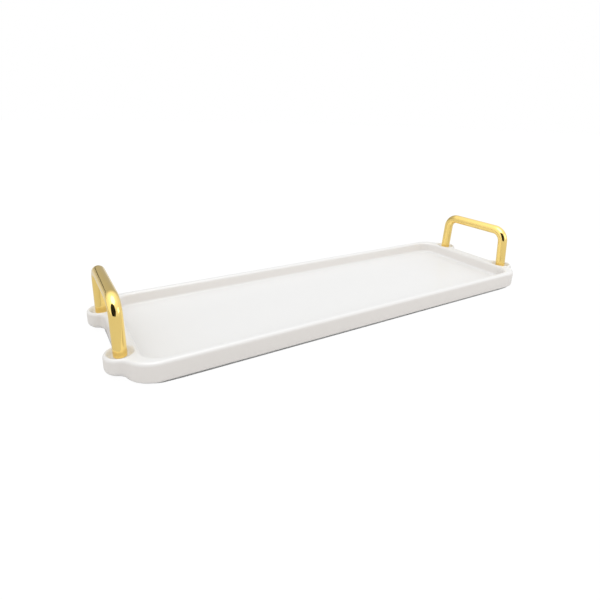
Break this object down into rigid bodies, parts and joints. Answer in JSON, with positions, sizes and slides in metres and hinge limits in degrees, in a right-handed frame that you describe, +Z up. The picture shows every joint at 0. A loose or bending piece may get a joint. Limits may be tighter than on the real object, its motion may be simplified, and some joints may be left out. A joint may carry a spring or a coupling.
{
  "type": "dresser vanity tray",
  "caption": "Long shallow glazed tray with a raised rounded rim, a round ear under each handle leg, and a bent polished gold rod handle across each short end.",
  "frame": {"origin": "under the middle of the tray, on the surface that its foot pads stand on", "axes": "+X along the tray's length, from one handle to the other; +Y across its width; +Z up"},
  "size_m": [0.36, 0.112, 0.0483],
  "materials": {
    "glaze": "satin",
    "gold": "polished",
    "screw_steel": "satin",
    "washer_nylon": "matte",
    "pad_rubber": "matte"
  },
  "bodies": {
    "root": {"tray_body": "glaze", "handle_left": "gold", "handle_right": "gold", "handle_screw_left_front": "screw_steel", "handle_screw_left_back": "screw_steel", "handle_screw_right_front": "screw_steel", "handle_screw_right_back": "screw_steel", "handle_washer_left_front": "washer_nylon", "handle_washer_left_back": "washer_nylon", "handle_washer_right_front": "washer_nylon", "handle_washer_right_back": "washer_nylon", "foot_pad_left_front": "pad_rubber", "foot_pad_left_back": "pad_rubber", "foot_pad_middle_front": "pad_rubber", "foot_pad_middle_back": "pad_rubber", "foot_pad_right_front": "pad_rubber", "foot_pad_right_back": "pad_rubber"}
  },
  "joints": []
}
